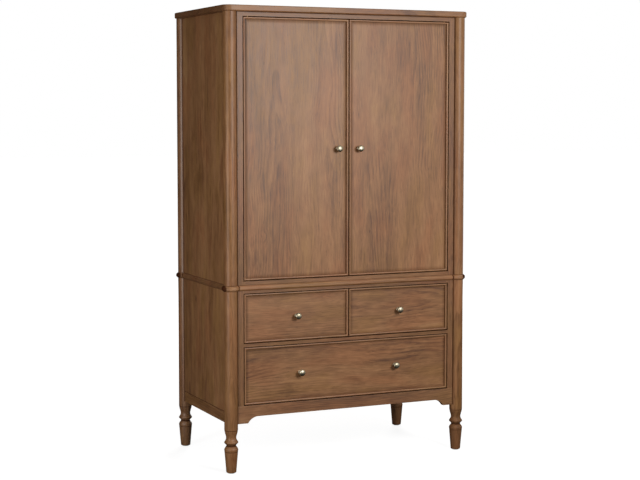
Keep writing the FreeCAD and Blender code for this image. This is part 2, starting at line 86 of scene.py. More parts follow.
def srgb(r, g, b):
    """A colour as it shows on a screen, 0 to 255 each, turned into the light values of a shader."""
    values = []
    for c in (r, g, b):
        share = c / 255
        values.append(share / 12.92 if share <= 0.04045 else ((share + 0.055) / 1.055) ** 2.4)
    return (*values, 1.0)


def grey(value):
    """A grey from 0 to 1 in the light values of a shader."""
    return (value, value, value, 1.0)


# Node graphs

class Graph:
    """The node graph of a material or a world, with short calls that add and join its nodes."""

    def __init__(self, owner):
        owner.use_nodes = True
        self.owner = owner
        self.tree = owner.node_tree
        self.tree.nodes.clear()

    def add(self, kind, inputs, **settings):
        """Adds a node. Each input is a socket to join or a value to set, by its name or number."""
        node = self.tree.nodes.new(kind)
        for key, value in settings.items():
            setattr(node, key, value)
        for key, value in inputs.items():
            if isinstance(value, bpy.types.NodeSocket):
                self.tree.links.new(value, node.inputs[key])
            else:
                node.inputs[key].default_value = value
        return node

    def math(self, operation, *values):
        """One sum on numbers."""
        return self.add("ShaderNodeMath", dict(enumerate(values)), operation=operation).outputs[0]

    def distance(self, value, place):
        """How far a value is from a place."""
        return self.math("ABSOLUTE", self.math("SUBTRACT", value, place))

    def varied(self, value, layer, reach):
        """A number that a layer of noise moves up and down by half a reach."""
        return self.math("MULTIPLY_ADD", layer, reach, value - reach / 2)

    def smooth_step(self, value, low, high, start=0.0, end=1.0):
        """Goes smoothly from start to end while the value goes from low to high."""
        inputs = {
            "Value": value, "From Min": low, "From Max": high, "To Min": start, "To Max": end,
        }
        node = self.add("ShaderNodeMapRange", inputs, interpolation_type="SMOOTHSTEP")
        return node.outputs[0]

    def place(self):
        """The point on the piece, in metres in the cabinet's frame."""
        return self.add("ShaderNodeTexCoord", {}).outputs["Object"]

    def scaled(self, vector, factors):
        """A vector times three factors."""
        inputs = {0: vector, 1: factors}
        return self.add("ShaderNodeVectorMath", inputs, operation="MULTIPLY").outputs[0]

    def moved(self, vector, offset):
        """A vector plus an offset."""
        inputs = {0: vector, 1: offset}
        return self.add("ShaderNodeVectorMath", inputs, operation="ADD").outputs[0]

    def noise(self, vector, detail, output="Fac"):
        """Noise whose patches are about one unit wide."""
        inputs = {"Vector": vector, "Scale": 1.0, "Detail": detail}
        return self.add("ShaderNodeTexNoise", inputs).outputs[output]

    def streaks(self, vector, across, along, detail):
        """Noise in streaks along Z, whose width and length are given in metres."""
        return self.noise(self.scaled(vector, (1 / across, 1 / across, 1 / along)), detail)

    def blend(self, factor, a, b, mode="MIX"):
        """One colour or the other, or the first changed by the second."""
        inputs = {0: factor, 6: a, 7: b}
        return self.add("ShaderNodeMix", inputs, data_type="RGBA", blend_type=mode).outputs[2]

    def ramp(self, factor, stops):
        """A colour ramp through stops, which are each a place and a colour."""
        node = self.add("ShaderNodeValToRGB", {"Fac": factor})
        elements = node.color_ramp.elements
        while len(elements) < len(stops):
            elements.new(1.0)
        for element, (place, colour) in zip(elements, stops):
            element.position = place
            element.color = colour
        return node.outputs["Color"]

    def relief(self, height, strength, distance):
        """A fine relief in the surface, whose depth is a distance in metres."""
        inputs = {"Height": height, "Strength": strength, "Distance": distance}
        return self.add("ShaderNodeBump", inputs).outputs[0]

    def surface(self, inputs):
        """Ends a material's graph in a plain surface shader."""
        shader = self.add("ShaderNodeBsdfPrincipled", inputs)
        self.add("ShaderNodeOutputMaterial", {"Surface": shader.outputs[0]})
        return self.owner


def object_axes(g):
    """The coordinates of the point on the piece, by the names of their axes."""
    split = g.add("ShaderNodeSeparateXYZ", {0: g.place()})
    return dict(zip("XYZ", split.outputs))


def grain_vector(g, axes, along, across):
    """The point with the way across the board as X, through it as Y and along the grain as Z."""
    through = ({"X", "Y", "Z"} - {along, across}).pop()
    inputs = {0: axes[across], 1: axes[through], 2: axes[along]}
    return g.add("ShaderNodeCombineXYZ", inputs).outputs[0]


# Wood

CASE_TONES = (srgb(82, 50, 28), srgb(124, 84, 50), srgb(144, 101, 64), srgb(168, 124, 82))
DRAWER_TONES = (srgb(150, 116, 78), srgb(188, 156, 112), srgb(206, 176, 134), srgb(222, 196, 156))
TONE_PLACES = (0.05, 0.38, 0.6, 0.95)
# The brown that painted shade, and the darker stain on a slab's ends, multiply into the wood
SHADE_AND_STAIN = srgb(92, 50, 28)
ROSY = srgb(255, 245, 240)
OLIVE = srgb(248, 249, 232)

# The layers of the grain: the width and the length of a streak, and the detail of the noise
BROAD = (0.1, 0.7, 2.0)
BANDS = (0.021, 0.26, 3.0)
FIBRES = (0.0026, 0.06, 3.0)
CLOUDS = (0.035, 0.06, 2.0)
FLECKS = (0.0036, 0.022, 2.0)
QUIET = (0.16, 0.5, 1.0)

# Where in their noise the flecks start and are full, and where the year rings start to show
FLECK_SPAN = (0.64, 0.76)
QUIET_SPAN = (0.42, 0.62)

# How much each layer moves the tone, which goes from 0 dark to 1 pale
BROAD_WEIGHT = 0.46
BANDS_WEIGHT = 0.38
FIBRES_WEIGHT = 0.8
CLOUDS_WEIGHT = 0.22
RINGS_WEIGHT = -0.16
FLECKS_WEIGHT = -0.22

# How far one seed moves the grain, and how the noise that bends it is scaled and how far it bends
SEED_STEPS = (3.17, 1.93, 5.71)
WANDER_SCALE = (5.0, 5.0, 2.2)
WANDER_REACH = (0.05, 0.05, 0.0)

# The drift of the wood's colour: the scale of its noise, and where in it the tints come in
DRIFT_SCALE = (11.0, 11.0, 3.5)
ROSY_SPAN = (0.48, 0.66)
OLIVE_SPAN = (0.5, 0.34)

# The surface: how much rougher the fibres and the painted shade and stain make it, and how deep its
# relief is
FIBRE_ROUGHNESS = 0.16
DARKENED_ROUGHNESS = 0.4
FLECK_DEPTH = -0.8
RELIEF_STRENGTH = 0.22
RELIEF_DEPTH = 0.0003

# Year rings: the planks' width, the middle of the arches in it, how blunt the arches are, the rings
# in a metre across and along the plank, how much broad streaks and knots bend them, and where in
# each ring the late wood darkens and ends
PLANK_WIDTH = 0.21
ARCH_CENTRE = 0.1
ARCH_BLUNTNESS = 0.05
RINGS_ACROSS = 95.0
RINGS_ALONG = 2.3
RINGS_BEND = 7.0
RINGS_KNOT_BEND = 3.0
RING_DARKENS = (0.25, 0.9)
RING_ENDS = (0.93, 1.0)

# Knots: one cell of the face can hold one knot. The scale of the cells across and along the board,
# where in a cell the knot is full and gone, the share of empty cells, and where its core darkens
KNOT_SCALE = (1 / 0.17, 0.0, 1 / 0.3)
KNOT_SPAN = (0.02, 0.16)
KNOT_EMPTY = 0.62
KNOT_CORE = (0.5, 1.0)


def ring_lines(g, bent, broad, knot):
    """Dark late-wood lines of the year rings, cut so that they make tall arches on a flat face."""
    split = g.add("ShaderNodeSeparateXYZ", {0: bent})
    centred = g.math("SUBTRACT", g.math("PINGPONG", split.outputs[0], PLANK_WIDTH), ARCH_CENTRE)
    radius = g.math("SQRT", g.math("MULTIPLY_ADD", centred, centred, ARCH_BLUNTNESS**2))
    rise = g.math("MULTIPLY", split.outputs[2], RINGS_ALONG)
    phase = g.math("MULTIPLY_ADD", radius, RINGS_ACROSS, rise)
    phase = g.math("MULTIPLY_ADD", broad, RINGS_BEND, phase)
    if knot:
        phase = g.math("MULTIPLY_ADD", knot, RINGS_KNOT_BEND, phase)
    share = g.math("FRACT", phase)
    darker = g.smooth_step(share, *RING_DARKENS)
    ended = g.smooth_step(share, *RING_ENDS, 1.0, 0.0)
    return g.math("MULTIPLY", darker, ended)


def knot_field(g, bent):
    """Goes from 0 to 1 towards the middle of a few small knots, scattered over the face."""
    inputs = {"Vector": g.scaled(bent, KNOT_SCALE), "Scale": 1.0, "Randomness": 1.0}
    cells = g.add("ShaderNodeTexVoronoi", inputs)
    near = g.smooth_step(cells.outputs["Distance"], *KNOT_SPAN, 1.0, 0.0)
    pick = g.add("ShaderNodeSeparateColor", {0: cells.outputs["Color"]}).outputs[0]
    return g.math("MULTIPLY", near, g.math("GREATER_THAN", pick, KNOT_EMPTY))


def grain(g, place, figure, shade, knots):
    """The tone of the wood, and the two finest layers of its grain, fibres and dark flecks."""
    wander = g.noise(g.scaled(place, WANDER_SCALE), 2.0, "Color")
    inputs = {0: wander, 1: WANDER_REACH, 2: place}
    bent = g.add("ShaderNodeVectorMath", inputs, operation="MULTIPLY_ADD").outputs[0]
    broad = g.streaks(bent, *BROAD)
    bands = g.streaks(bent, *BANDS)
    fibres = g.streaks(bent, *FIBRES)
    clouds = g.streaks(bent, *CLOUDS)
    flecks = g.smooth_step(g.streaks(bent, *FLECKS), *FLECK_SPAN)
    knot = knot_field(g, bent) if knots else None
    quiet = g.smooth_step(g.streaks(place, *QUIET), *QUIET_SPAN)
    rings = g.math("MULTIPLY", ring_lines(g, bent, broad, knot), quiet)

    tone = 0.5 + shade
    layers = (
        (broad, BROAD_WEIGHT * figure), (bands, BANDS_WEIGHT * figure),
        (fibres, FIBRES_WEIGHT), (clouds, CLOUDS_WEIGHT * figure),
    )
    for layer, weight in layers:
        tone = g.math("MULTIPLY_ADD", g.math("SUBTRACT", layer, 0.5), weight, tone)
    tone = g.math("MULTIPLY_ADD", rings, RINGS_WEIGHT * figure, tone)
    tone = g.math("MULTIPLY_ADD", flecks, FLECKS_WEIGHT, tone)
    if knots:
        tone = g.math("MULTIPLY_ADD", g.smooth_step(knot, *KNOT_CORE), -knots, tone)
    return tone, fibres, flecks


def wood(
    name, along, across, seed, tones=CASE_TONES, figure=1.0, shade=0.0, knots=0.0,
    roughness=0.5, lustre=0.6, turn=None, shade_and_stain=None,
):
    """Stained wood. Its grain runs along one axis, or along the other where turn gives 1. Figure is
    how lively the grain is, shade makes the whole board paler or darker, knots is their darkness,
    and the last argument is a mask of painted shade and of darker stain, which darkens a place and
    dulls its gloss."""
    g = Graph(bpy.data.materials.new(name))
    axes = object_axes(g)
    place = grain_vector(g, axes, along, across)
    if turn:
        inputs = {0: turn(g, axes), 4: place, 5: grain_vector(g, axes, across, along)}
        place = g.add("ShaderNodeMix", inputs, data_type="VECTOR").outputs[1]
    place = g.moved(place, tuple(seed * step for step in SEED_STEPS))
    tone, fibres, flecks = grain(g, place, figure, shade, knots)

    colour = g.ramp(tone, list(zip(TONE_PLACES, tones)))
    drift = g.noise(g.scaled(place, DRIFT_SCALE), 2.0)
    colour = g.blend(g.smooth_step(drift, *ROSY_SPAN), colour, ROSY, "MULTIPLY")
    colour = g.blend(g.smooth_step(drift, *OLIVE_SPAN), colour, OLIVE, "MULTIPLY")
    rough = g.varied(roughness, fibres, FIBRE_ROUGHNESS)
    # Painted shade, and darker stain, darken the colour and dull the gloss
    if shade_and_stain:
        darkening = shade_and_stain(g, axes)
        colour = g.blend(darkening, colour, SHADE_AND_STAIN, "MULTIPLY")
        rough = g.math("MULTIPLY_ADD", darkening, DARKENED_ROUGHNESS, rough)
        lustre = g.math("MULTIPLY_ADD", darkening, -lustre, lustre)
    height = g.math("MULTIPLY_ADD", flecks, FLECK_DEPTH, fibres)
    return g.surface({
        "Base Color": colour, "Roughness": rough, "Specular IOR Level": lustre,
        "Normal": g.relief(height, RELIEF_STRENGTH, RELIEF_DEPTH),
    })


# Masks. Each call returns a function that adds nodes to a graph and gives a number from 0 to 1.
# In the masks of painted shade and stain, reach is how far the darkening runs, and most is its
# strength where it is strongest.

def line_shade(axis, place, reach, most):
    """Painted shade along a line at a coordinate, on both sides of the cabinet."""
    def mask(g, axes):
        away = g.distance(g.math("ABSOLUTE", axes[axis]), place)
        return g.smooth_step(away, 0.0, reach, most, 0.0)

    return mask


def above(height, shade_and_stain):
    """A mask of painted shade that is only there above a height."""
    def mask(g, axes):
        return g.math("MULTIPLY", shade_and_stain(g, axes), g.math("GREATER_THAN", axes["Z"], height))

    return mask


def strongest(*masks):
    """The strongest of several masks at each point."""
    def mask(g, axes):
        total = masks[0](g, axes)
        for other in masks[1:]:
            total = g.math("MAXIMUM", total, other(g, axes))
        return total

    return mask


def beyond(axis, limit):
    """1 where a coordinate is further out than a limit, on either side."""
    def mask(g, axes):
        return g.math("GREATER_THAN", g.math("ABSOLUTE", axes[axis]), limit)

    return mask


def end_glaze(node, reach, most):
    """Dark finish on the ends of a board that runs along X, which take up more stain."""
    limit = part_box(node)[1].x

    def mask(g, axes):
        return g.smooth_step(g.math("ABSOLUTE", axes["X"]), limit - reach, limit, 0.0, most)

    return mask


def edge_distance(g, axes, node):
    """How far a point is from the nearest of the four edges of a front."""
    low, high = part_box(node)
    x_gaps = g.math("SUBTRACT", axes["X"], low.x), g.math("SUBTRACT", high.x, axes["X"])
    z_gaps = g.math("SUBTRACT", axes["Z"], low.z), g.math("SUBTRACT", high.z, axes["Z"])
    return g.math("MINIMUM", g.math("MINIMUM", *x_gaps), g.math("MINIMUM", *z_gaps))


def edge_shade(node, start, reach, most):
    """Painted shade along the four edges of a front, where its bead shades it, full up to a start
    and gone at its reach.
    """
    def mask(g, axes):
        return g.smooth_step(edge_distance(g, axes, node), start, reach, most, 0.0)

    return mask


def right_shade(node, start, reach, most):
    """Painted shade along the right edge of a front, in the shade of its bead."""
    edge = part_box(node)[1].x

    def mask(g, axes):
        return g.smooth_step(g.math("SUBTRACT", edge, axes["X"]), start, reach, most, 0.0)

    return mask


# The painted shade on a bead: from where to where, in from the bead's edge and back from its front
BEAD_CORNER = (0.0008, 0.002)
BEAD_CORNER_DEPTH = (0.003, 0.0045)
BEAD_SEAM = (0.004, 0.006)
BEAD_SEAM_DEPTH = (0.004, 0.0078)


def bead_shade(bead, corner, seam):
    """Painted shade on the outer corner of a bead in the gap, and on its inner seam where it meets
    the panel.
    """
    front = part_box(bead)[0].y

    def mask(g, axes):
        away = edge_distance(g, axes, bead)
        depth = g.math("SUBTRACT", axes["Y"], front)
        outer = g.smooth_step(away, *BEAD_CORNER, corner, 0.0)
        outer = g.math("MULTIPLY", outer, g.smooth_step(depth, *BEAD_CORNER_DEPTH, 1.0, 0.0))
        inner = g.smooth_step(away, *BEAD_SEAM)
        inner = g.math("MULTIPLY", inner, g.smooth_step(depth, *BEAD_SEAM_DEPTH, 0.0, seam))
        return g.math("MAXIMUM", outer, inner)

    return mask


# Depths behind the faces of the frames between which the painted shade in the gap comes in, and
# goes out
GAP_SPAN = (0.001, 0.003)
GAP_END = (0.008, 0.012)


def gap_shade(most):
    """Painted shade in the depth of the gap round the doors and drawers."""
    def mask(g, axes):
        depth = g.math("SUBTRACT", axes["Y"], face_y)
        entry = g.smooth_step(depth, *GAP_SPAN, 0.0, most)
        return g.math("MULTIPLY", entry, g.smooth_step(depth, *GAP_END, 1.0, 0.0))

    return mask


# Where painted shade darkens the noses of the band, as ways out from the centres of the posts. The
# near nose is the one at the front on the right, whose front quarter gets painted shade too.
LEFT_NOSE = (0.022, 0.03)
RIGHT_NOSE = (0.02, 0.026)
NEAR_NOSE_X = (0.009, 0.016)
NEAR_NOSE_Y = (0.012, 0.004)


def nose_shade(flank, most):
    """Painted shade on the two sides of the band, deepest where it turns round the posts."""
    def mask(g, axes):
        out = g.math("ABSOLUTE", axes["X"])
        side = g.smooth_step(out, side_x, side_x + BAND_PROJECTION, 0.0, flank)
        from_left = g.math("SUBTRACT", -post_x, axes["X"])
        from_right = g.math("SUBTRACT", axes["X"], post_x)
        before = g.math("SUBTRACT", -post_y, axes["Y"])
        left = g.smooth_step(from_left, *LEFT_NOSE, 0.0, most)
        right = g.smooth_step(from_right, *RIGHT_NOSE, 0.0, most)
        near = g.smooth_step(from_right, *NEAR_NOSE_X, 0.0, most)
        near = g.math("MULTIPLY", near, g.smooth_step(before, *NEAR_NOSE_Y, 1.0, 0.0))
        return g.math("MAXIMUM", g.math("MAXIMUM", side, near), g.math("MAXIMUM", left, right))

    return mask


def foot_shade(reach, most):
    """Painted shade that thickens from the case down a turned foot."""
    def mask(g, axes):
        return g.smooth_step(axes["Z"], skirt_z, skirt_z - reach, 0.0, most)

    return mask


def mitre_turn(node):
    """1 on the upright sticks of a frame with mitred corners, 0 on the level ones."""
    low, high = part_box(node)
    middle = (low + high) / 2
    half = (high - low) / 2

    def mask(g, axes):
        x_gap = g.math("SUBTRACT", half.x, g.distance(axes["X"], middle.x))
        z_gap = g.math("SUBTRACT", half.z, g.distance(axes["Z"], middle.z))
        return g.math("LESS_THAN", x_gap, z_gap)

    return mask


TURN_SLACK = 0.0001


def box_side_turn(node):
    """1 on the left and right sides of a drawer box, 0 on its other boards."""
    low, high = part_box(node)
    middle = (low.x + high.x) / 2
    inner = (high.x - low.x) / 2 - BOX_WALL - TURN_SLACK

    def mask(g, axes):
        return g.math("GREATER_THAN", g.distance(axes["X"], middle), inner)

    return mask


# Metal and plastic

CLOUD_SCALE = (60.0, 60.0, 60.0)
CLOUD_SPAN = (0.35, 0.65)
PLASTIC_SCALE = (900.0, 900.0, 900.0)
PLASTIC_ROUGHNESS = 0.5
PLASTIC_LIGHTER = 1.35
MARKS_ROUGHNESS = 0.2
MARKS_DEPTH = 0.0001


def metal(name, colour, dark, roughness, marks):
    """Metal with a soft clouding in its colour. Marks is the scale of its fine marks each way."""
    g = Graph(bpy.data.materials.new(name))
    place = g.place()
    cloud = g.noise(g.scaled(place, CLOUD_SCALE), 4.0)
    fine = g.noise(g.scaled(place, marks), 3.0)
    return g.surface({
        "Base Color": g.blend(g.smooth_step(cloud, *CLOUD_SPAN), dark, colour), "Metallic": 1.0,
        "Roughness": g.varied(roughness, fine, MARKS_ROUGHNESS),
        "Normal": g.relief(fine, 0.12, MARKS_DEPTH),
    })


def plastic(name, colour):
    """Moulded plastic with a fine spark-eroded grain."""
    g = Graph(bpy.data.materials.new(name))
    fine = g.noise(g.scaled(g.place(), PLASTIC_SCALE), 2.0)
    lighter = tuple(min(1.0, c * PLASTIC_LIGHTER) for c in colour[:3]) + (1.0,)
    return g.surface({
        "Base Color": g.blend(fine, colour, lighter),
        "Roughness": g.varied(PLASTIC_ROUGHNESS, fine, MARKS_ROUGHNESS),
        "Normal": g.relief(fine, 0.2, MARKS_DEPTH),
    })


# Shapes

CREASE = radians(32)
SHARP_ANGLE = radians(38)
BEVEL_ANGLE = radians(24)
WELD_DISTANCE = 0.00001


def curved(points, steps):
    """A smooth line through points, with a few steps between each two."""
    ends = [points[0]] + list(points) + [points[-1]]
    line = []
    for a, b, c, d in zip(ends, ends[1:], ends[2:], ends[3:]):
        for i in range(steps):
            t = i / steps
            line.append(tuple(
                b[k] + (c[k] - a[k]) * t / 2 + (2 * a[k] - 5 * b[k] + 4 * c[k] - d[k]) * t**2 / 2
                + (3 * (b[k] - c[k]) + d[k] - a[k]) * t**3 / 2
                for k in range(2)
            ))
    return line + [points[-1]]


def add_turned(mesh, rings, axis):
    """Adds a closed body round an axis. Each ring is its centre and the radii of its points."""
    across = Vector((axis.y, axis.z, axis.x))
    other = axis.cross(across)
    loops = []
    for centre, radii in rings:
        loop = []
        for i, radius in enumerate(radii):
            angle = 2 * pi * i / len(radii)
            spoke = across * cos(angle) + other * sin(angle)
            loop.append(mesh.verts.new(centre + spoke * radius))
        loops.append(loop)
    for low, high in zip(loops, loops[1:]):
        for i in range(len(low)):
            j = (i + 1) % len(low)
            mesh.faces.new((low[i], low[j], high[j], high[i]))
    mesh.faces.new(loops[0][::-1])
    mesh.faces.new(loops[-1])


def add_lathed(mesh, outline, foot, axis, sides):
    """Adds a turned body. The outline's points are each a radius and a way along the axis."""
    add_turned(mesh, [(foot + axis * way, [radius] * sides) for radius, way in outline], axis)


def add_object(name, data):
    """A new object in the scene."""
    made = bpy.data.objects.new(name, data)
    bpy.context.scene.collection.objects.link(made)
    return made


def add_mesh(name, mesh, material):
    """A new object in the scene from a built mesh, with its material."""
    data = bpy.data.meshes.new(name)
    mesh.to_mesh(data)
    mesh.free()
    data.materials.append(material)
    return add_object(name, data)


def make_piece(name, mesh, material, body):
    """Turns a mesh into a smooth-shaded piece that rides on a body. Its creases stay sharp."""
    bmesh.ops.recalc_face_normals(mesh, faces=mesh.faces)
    for face in mesh.faces:
        face.smooth = True
    for edge in mesh.edges:
        if len(edge.link_faces) == 2:
            edge.smooth = edge.calc_face_angle() < CREASE
    piece = add_mesh(name, mesh, material)
    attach(piece, body)
    return piece


def shading_by_angle():
    """A geometry node tree that shades faces smoothly. It keeps edges sharp that are past an angle,
    or that other than two faces share because solids touch there."""
    tree = bpy.data.node_groups.new("shade_by_angle", "GeometryNodeTree")
    for way in ("INPUT", "OUTPUT"):
        tree.interface.new_socket("Geometry", in_out=way, socket_type="NodeSocketGeometry")
    nodes = tree.nodes
    start = nodes.new("NodeGroupInput")
    faces = nodes.new("GeometryNodeSetShadeSmooth")
    faces.domain = "FACE"
    edges = nodes.new("GeometryNodeSetShadeSmooth")
    edges.domain = "EDGE"
    edges.inputs["Shade Smooth"].default_value = False
    end = nodes.new("NodeGroupOutput")
    angle = nodes.new("GeometryNodeInputMeshEdgeAngle")
    steep = nodes.new("FunctionNodeCompare")
    steep.inputs[1].default_value = SHARP_ANGLE
    neighbours = nodes.new("GeometryNodeInputMeshEdgeNeighbors")
    shared = nodes.new("FunctionNodeCompare")
    shared.data_type = "INT"
    shared.operation = "NOT_EQUAL"
    shared.inputs[3].default_value = 2
    either = nodes.new("FunctionNodeBooleanMath")
    either.operation = "OR"
    joins = (
        (start.outputs[0], faces.inputs["Geometry"]), (faces.outputs[0], edges.inputs["Geometry"]),
        (edges.outputs[0], end.inputs[0]), (angle.outputs["Unsigned Angle"], steep.inputs[0]),
        (neighbours.outputs["Face Count"], shared.inputs[2]), (steep.outputs[0], either.inputs[0]),
        (shared.outputs[0], either.inputs[1]), (either.outputs[0], edges.inputs["Selection"]),
    )
    for source, target in joins:
        tree.links.new(source, target)
    return tree


SHADING = shading_by_angle()


def dress(node, material, edge=0.0, steps=2):
    """Gives a CAD piece its material and eases its edges by a small round, as sanding does. Pieces
    whose solids touch have no round, which would tear at their joints."""
    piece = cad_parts[node]
    piece.data.materials.clear()
    piece.data.materials.append(material)
    piece.modifiers.new("weld", "WELD").merge_threshold = WELD_DISTANCE
    if edge:
        bevel = piece.modifiers.new("eased edges", "BEVEL")
        bevel.limit_method = "ANGLE"
        bevel.angle_limit = BEVEL_ANGLE
        bevel.width = edge
        bevel.segments = steps
    piece.modifiers.new("shading", "NODES").node_group = SHADING
    piece.modifiers.new("flat faces", "WEIGHTED_NORMAL").keep_sharp = True


# Turned posts and legs. The outline of a foot is in shares of the post's radius and of its height.

POST_SIDES = 72
CURVE_STEPS = 4
UPPER_SEED = 31 + 11 / 9
LEG_SEED = 31 + 4 / 9
# How far below the case the painted shade on a foot comes to its full strength
FOOT_SHADE_REACH = 0.04
FOOT_HEIGHT = 0.176
GLIDE_HEIGHT = 0.003
SHOULDER_RISE = 0.0006
TAPER_SHARES = ((0.66, 0.0), (0.725, 0.006), (0.745, 0.02), (0.982, 0.47), (0.99, 0.486))
TURNING_SHARES = (
    (0.996, 0.5), (1.02, 0.523), (1.02, 0.548), (0.94, 0.578), (0.82, 0.604), (0.705, 0.634),
    (0.76, 0.655), (0.9, 0.678), (1.018, 0.7), (1.03, 0.714), (0.97, 0.732), (0.86, 0.758),
    (0.78, 0.785), (0.752, 0.815), (0.76, 0.838), (0.79, 0.865), (0.845, 0.895), (0.9, 0.925),
    (0.95, 0.957), (0.978, 0.985),
)

# Painted shade in the grooves of a foot: the share of its height, the reach and the strength
GROOVES = ((0.49, 0.0025, 0.8), (0.634, 0.007, 0.9), (0.99, 0.003, 0.8))

# For each post how much painted shade darkens its foot, and its lustre
POST_LOOKS = {
    "front_left": (0.01, 0.38), "rear_left": (0.1, 0.85),
    "front_right": (0.37, 0.38), "rear_right": (0.25, 0.38),
}


def leg_outline():
    """The outline of a lower post from its tapered foot through its turnings to the waist band."""
    turning = list(TAPER_SHARES[:3]) + curved(TAPER_SHARES[3:] + TURNING_SHARES, CURVE_STEPS)
    outline = [(r * POST_RADIUS, GLIDE_HEIGHT + h * FOOT_HEIGHT) for r, h in turning]
    shoulder = GLIDE_HEIGHT + FOOT_HEIGHT + SHOULDER_RISE
    return outline + [(POST_RADIUS, shoulder), (POST_RADIUS, band_bottom)]


def make_post(kind, place, foot, seed, shade_and_stain, outline):
    """One turned post or leg in the place of its CAD piece."""
    mesh = bmesh.new()
    add_lathed(mesh, outline, foot, UP, POST_SIDES)
    node = kind + "_" + place
    material = wood(
        node + "_wood", "Z", "X", seed, figure=1.2, shade=-0.03, roughness=0.46,
        lustre=POST_LOOKS[place][1], shade_and_stain=shade_and_stain,
    )
    piece = make_piece("round_" + node, mesh, material, "cabinet")
    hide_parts(node)


def make_posts():
    """The four posts of the upper case and the four turned legs of the lower case."""
    # Painted shade in the quirks where the posts meet the faces and sides, by the band, under the
    # slab and on the feet
    quirks = strongest(
        line_shade("X", quirk_x, reach=0.0055, most=0.7),
        line_shade("Y", quirk_y, reach=0.003, most=0.6),
    )
    upper = strongest(
        quirks, line_shade("Z", band_top, reach=0.003, most=0.7),
        line_shade("Z", slab_bottom, reach=0.003, most=0.5),
    )
    lines = [above(skirt_z, quirks), line_shade("Z", band_bottom, reach=0.003, most=0.7)]
    for share, reach, most in GROOVES:
        lines.append(line_shade("Z", GLIDE_HEIGHT + share * FOOT_HEIGHT, reach, most))
    straight = [(POST_RADIUS, band_top), (POST_RADIUS, slab_bottom)]
    places = [
        (end + "_" + side, Vector((sx * post_x, sy * post_y, 0)))
        for sx, side in SIDES for sy, end in ENDS
    ]
    for i, (place, foot) in enumerate(places):
        lower = strongest(foot_shade(FOOT_SHADE_REACH, POST_LOOKS[place][0]), *lines)
        make_post("upper_post", place, foot, UPPER_SEED + i, upper, straight)
        make_post("leg", place, foot, LEG_SEED + i, lower, leg_outline())


# Knobs. The outline is in shares of the knob's radius and of its length.

KNOB_SIDES = 48
KNOB_RADIUS = 0.014
KNOB_LENGTH = 0.0305
KNOB_FOOT_SHARES = ((0.54, 0.0), (0.58, 0.012), (0.58, 0.055), (0.54, 0.07))
KNOB_SHARES = (
    (0.5, 0.085), (0.43, 0.18), (0.4, 0.3), (0.47, 0.41), (0.7, 0.5), (0.93, 0.59), (1.0, 0.68),
    (0.99, 0.76), (0.91, 0.85), (0.72, 0.93), (0.42, 0.98), (0.06, 1.0),
)
KNOBS = (
    ("left_door_knob", "left_door"), ("right_door_knob", "right_door"),
    ("left_drawer_knob", "left_drawer"), ("right_drawer_knob", "right_drawer"),
    ("long_drawer_knobs", "long_drawer"),
)


def knob_places(node):
    """The centres of the knobs in a node, on the face that they stand on."""
    low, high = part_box(node)
    z = (low.z + high.z) / 2
    if high.x - low.x < 3 * KNOB_RADIUS:
        return [Vector(((low.x + high.x) / 2, high.y, z))]
    return [Vector((x, high.y, z)) for x in (low.x + KNOB_RADIUS, high.x - KNOB_RADIUS)]


def make_knobs(material):
    """Turned metal knobs with a foot, a narrow neck and a domed head."""
    shares = list(KNOB_FOOT_SHARES) + curved(KNOB_SHARES, CURVE_STEPS)
    outline = [(r * KNOB_RADIUS, h * KNOB_LENGTH) for r, h in shares]
    for node, body in KNOBS:
        mesh = bmesh.new()
        for foot in knob_places(node):
            add_lathed(mesh, outline, foot, FORWARD, KNOB_SIDES)
        piece = make_piece("turned_" + node, mesh, material, body)
        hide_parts(node)


# Screws and bolts. The outline of a head is in shares of its radius and of its height, and the
# points round its cross recess take its shares in turn.

SCREW_SIDES = 16
SCREW_HEIGHT_SHARE = 0.5
SCREW_HEAD = ((1.0, 0.0), (0.96, 0.5), (0.7, 0.95))
CROSS_SHARES = (0.55, 0.3, 0.15, 0.3)
CROSS_RISES = (1.0, 0.35)
BACK_SCREW_RADIUS = 0.0034
BATTEN_SCREW_RADIUS = 0.0036
BOLT_RADIUS = 0.0044
PANEL_EDGE_INSET = 0.0065
WASHER_SIDES = 32
WASHER = ((0.0072, 0.0), (0.0074, 0.0002), (0.0074, 0.0009), (0.007, 0.0011), (0.003, 0.0011))


def add_screw(mesh, foot, axis, radius):
    """Adds a screw head with a rounded rim and a cross recess, which stands on a face."""
    height = radius * SCREW_HEIGHT_SHARE
    cross = [CROSS_SHARES[i % len(CROSS_SHARES)] * radius for i in range(SCREW_SIDES)]
    outline = [(rise, [share * radius] * SCREW_SIDES) for share, rise in SCREW_HEAD]
    outline += [(rise, cross) for rise in CROSS_RISES]
    add_turned(mesh, [(foot + axis * (rise * height), radii) for rise, radii in outline], axis)


def spread(low, high, inset, pitch):
    """Places from one end to the other, set in from both and evenly spaced by about a pitch."""
    start = low + inset
    length = high - inset - start
    count = max(1, round(length / pitch))
    return [start + length * i / count for i in range(count + 1)]


def mid_height(node):
    """The height of the middle of a node's box."""
    low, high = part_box(node)
    return (low.z + high.z) / 2


def make_screws(name, sites, radius, material):
    """One piece of the cabinet for several screw heads. A site is a foot and a way out."""
    mesh = bmesh.new()
    for foot, axis in sites:
        add_screw(mesh, Vector(foot), axis, radius)
    make_piece(name, mesh, material, "cabinet")


def panel_sites(node, boards):
    """Screws through a back panel into boards at some heights, and along its two upright edges."""
    low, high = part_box(node)
    sites = []
    row = spread(low.x, high.x, inset=0.06, pitch=0.19)
    for z in boards:
        sites += [((x, high.y, z), BACKWARD) for x in row]
    edges = (low.x + PANEL_EDGE_INSET, high.x - PANEL_EDGE_INSET)
    for z in spread(low.z, high.z, inset=0.05, pitch=0.2):
        sites += [((x, high.y, z), BACKWARD) for x in edges]
    return sites


